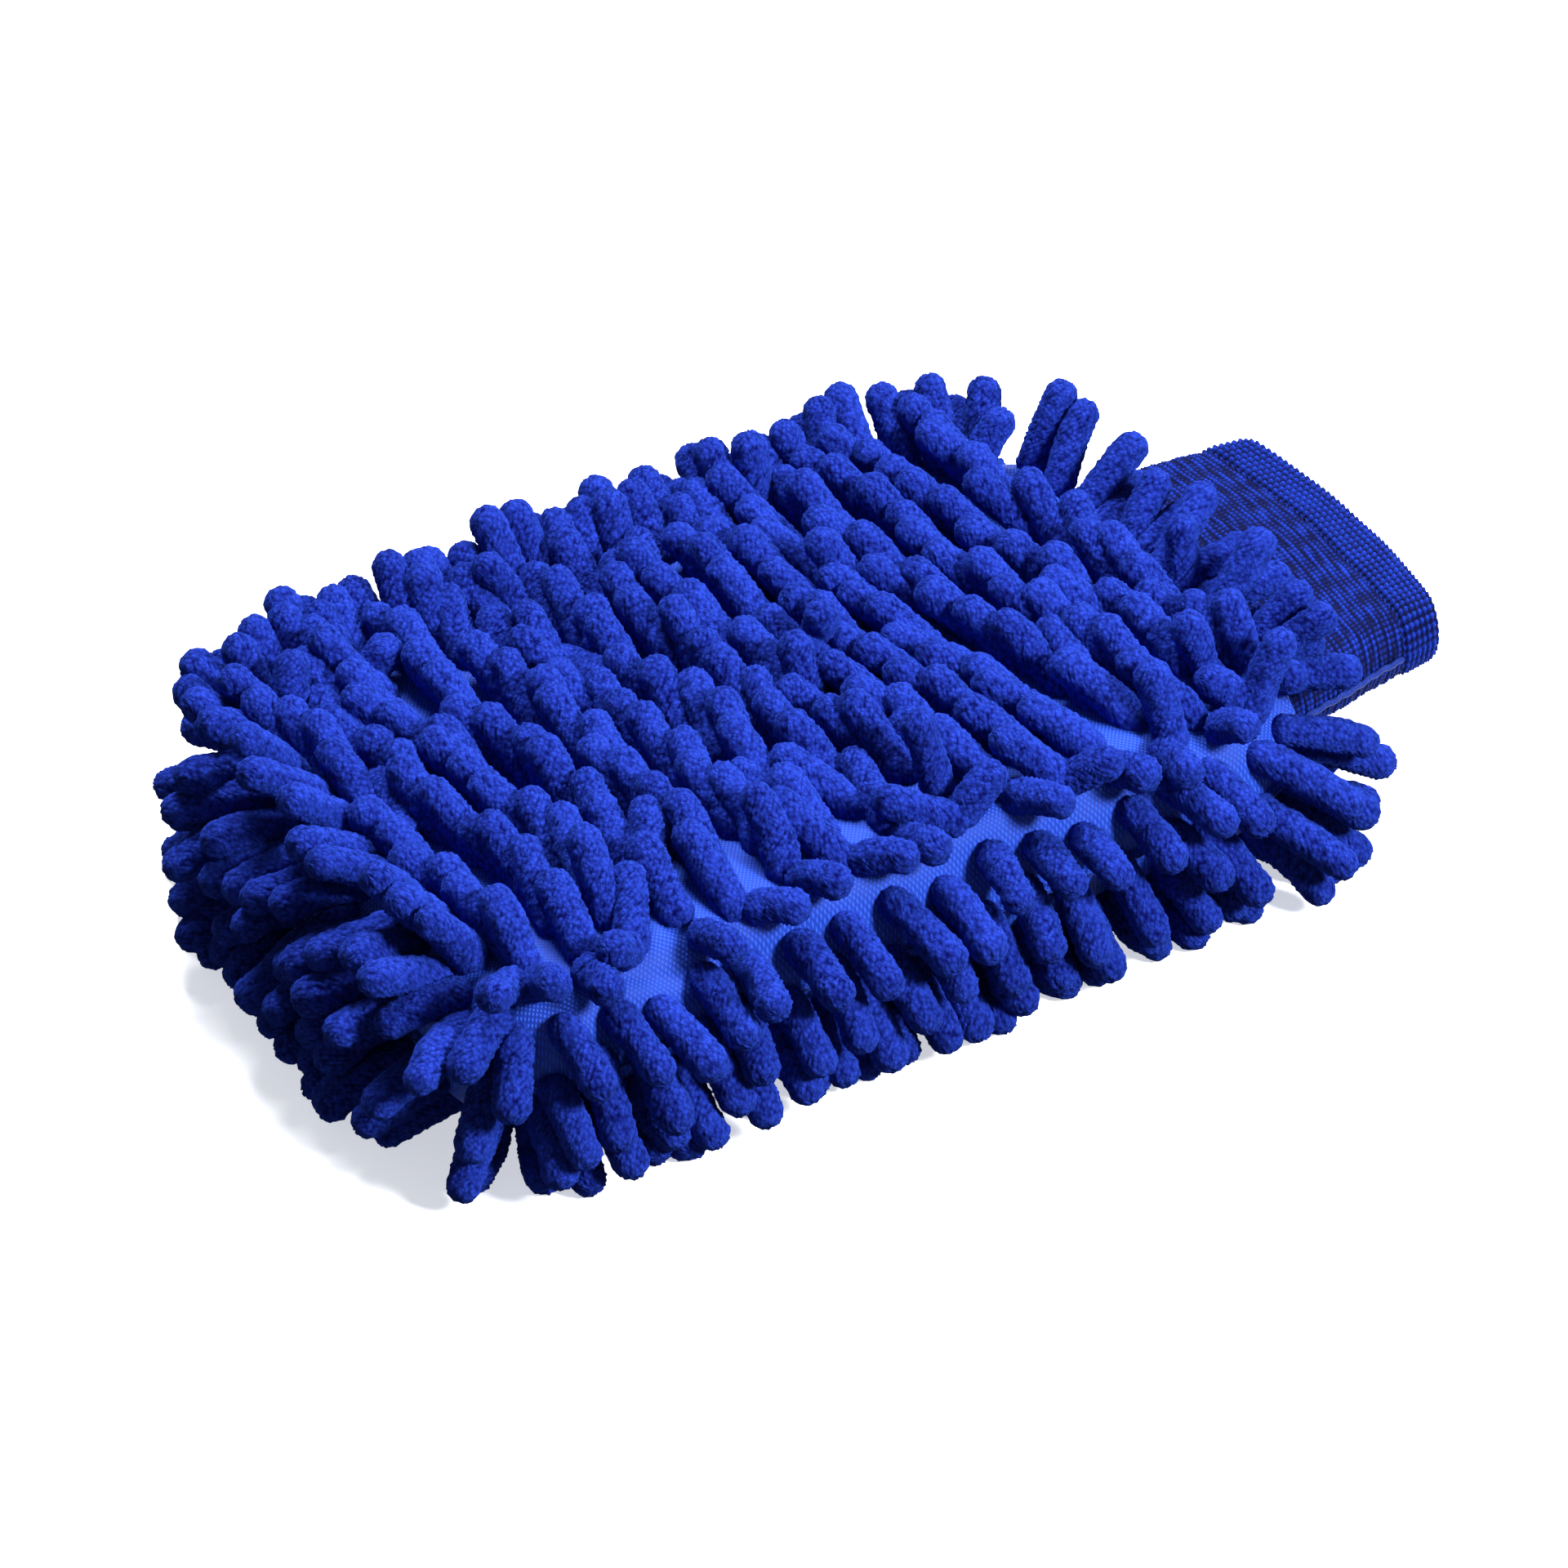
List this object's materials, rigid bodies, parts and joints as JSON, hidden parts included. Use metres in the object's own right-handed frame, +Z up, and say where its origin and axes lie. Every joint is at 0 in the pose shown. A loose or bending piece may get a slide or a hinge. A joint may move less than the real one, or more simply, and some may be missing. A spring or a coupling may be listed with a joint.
{
  "type": "wash mitt",
  "caption": "Padded chenille noodle wash mitt with a fabric pocket for the hand and a double-layer knitted cuff that folds at its seam.",
  "frame": {"origin": "on the surface the mitt lies on, under the middle of its outline", "axes": "+Y out of the wrist opening, +Z up from the surface, +X across the width to the near side"},
  "size_m": [0.186, 0.319, 0.0627],
  "materials": {
    "chenille_pile": "matt, fluffy split-fibre chenille with lighter fibre tips",
    "backing_fabric": "fine warp knit with a soft satin sheen",
    "cuff_knit": "ribbed elastic knit with a waffle hem",
    "lining_mesh": "plain thin polyester lining, matt",
    "sewing_thread": "twisted polyester thread",
    "elastic": "covered rubber thread"
  },
  "bodies": {
    "mitt": {"top_panel": "backing_fabric", "bottom_panel": "backing_fabric", "top_lining": "lining_mesh", "bottom_lining": "lining_mesh", "perimeter_seam": "backing_fabric", "seam_thread": "sewing_thread", "mouth_binding": "backing_fabric", "top_row_01": "chenille_pile", "top_row_02": "chenille_pile", "top_row_03": "chenille_pile", "top_row_04": "chenille_pile", "top_row_05": "chenille_pile", "top_row_06": "chenille_pile", "top_row_07": "chenille_pile", "top_row_08": "chenille_pile", "top_row_09": "chenille_pile", "top_row_10": "chenille_pile", "top_row_11": "chenille_pile", "top_row_12": "chenille_pile", "top_row_13": "chenille_pile", "top_row_14": "chenille_pile", "top_row_15": "chenille_pile", "top_row_16": "chenille_pile", "bottom_row_01": "chenille_pile", "bottom_row_02": "chenille_pile", "bottom_row_03": "chenille_pile", "bottom_row_04": "chenille_pile", "bottom_row_05": "chenille_pile", "bottom_row_06": "chenille_pile", "bottom_row_07": "chenille_pile", "bottom_row_08": "chenille_pile", "bottom_row_09": "chenille_pile", "bottom_row_10": "chenille_pile", "bottom_row_11": "chenille_pile", "bottom_row_12": "chenille_pile", "bottom_row_13": "chenille_pile", "bottom_row_14": "chenille_pile", "bottom_row_15": "chenille_pile", "bottom_row_16": "chenille_pile", "near_fringe_upper": "chenille_pile", "far_fringe_upper": "chenille_pile", "closed_end_fringe_upper": "chenille_pile", "near_corner_fringe_upper": "chenille_pile", "far_corner_fringe_upper": "chenille_pile", "near_fringe_lower": "chenille_pile", "far_fringe_lower": "chenille_pile", "closed_end_fringe_lower": "chenille_pile", "near_corner_fringe_lower": "chenille_pile", "far_corner_fringe_lower": "chenille_pile", "near_wrist_fringe": "chenille_pile", "far_wrist_fringe": "chenille_pile", "top_wrist_row": "chenille_pile", "bottom_wrist_row": "chenille_pile"},
    "cuff": {"cuff_elastic_1": "elastic", "cuff_elastic_2": "elastic", "cuff_elastic_3": "elastic", "cuff_outer": "cuff_knit", "cuff_inner": "cuff_knit", "cuff_hem": "cuff_knit", "cuff_side_seam": "sewing_thread"}
  },
  "joints": [
    {"name": "cuff_fold", "type": "hinge", "parent": "mitt", "child": "cuff", "pos_m": [0, 0.0985, 0.02865], "axis": [1, 0, 0], "range_deg": [-15, 20]}
  ]
}
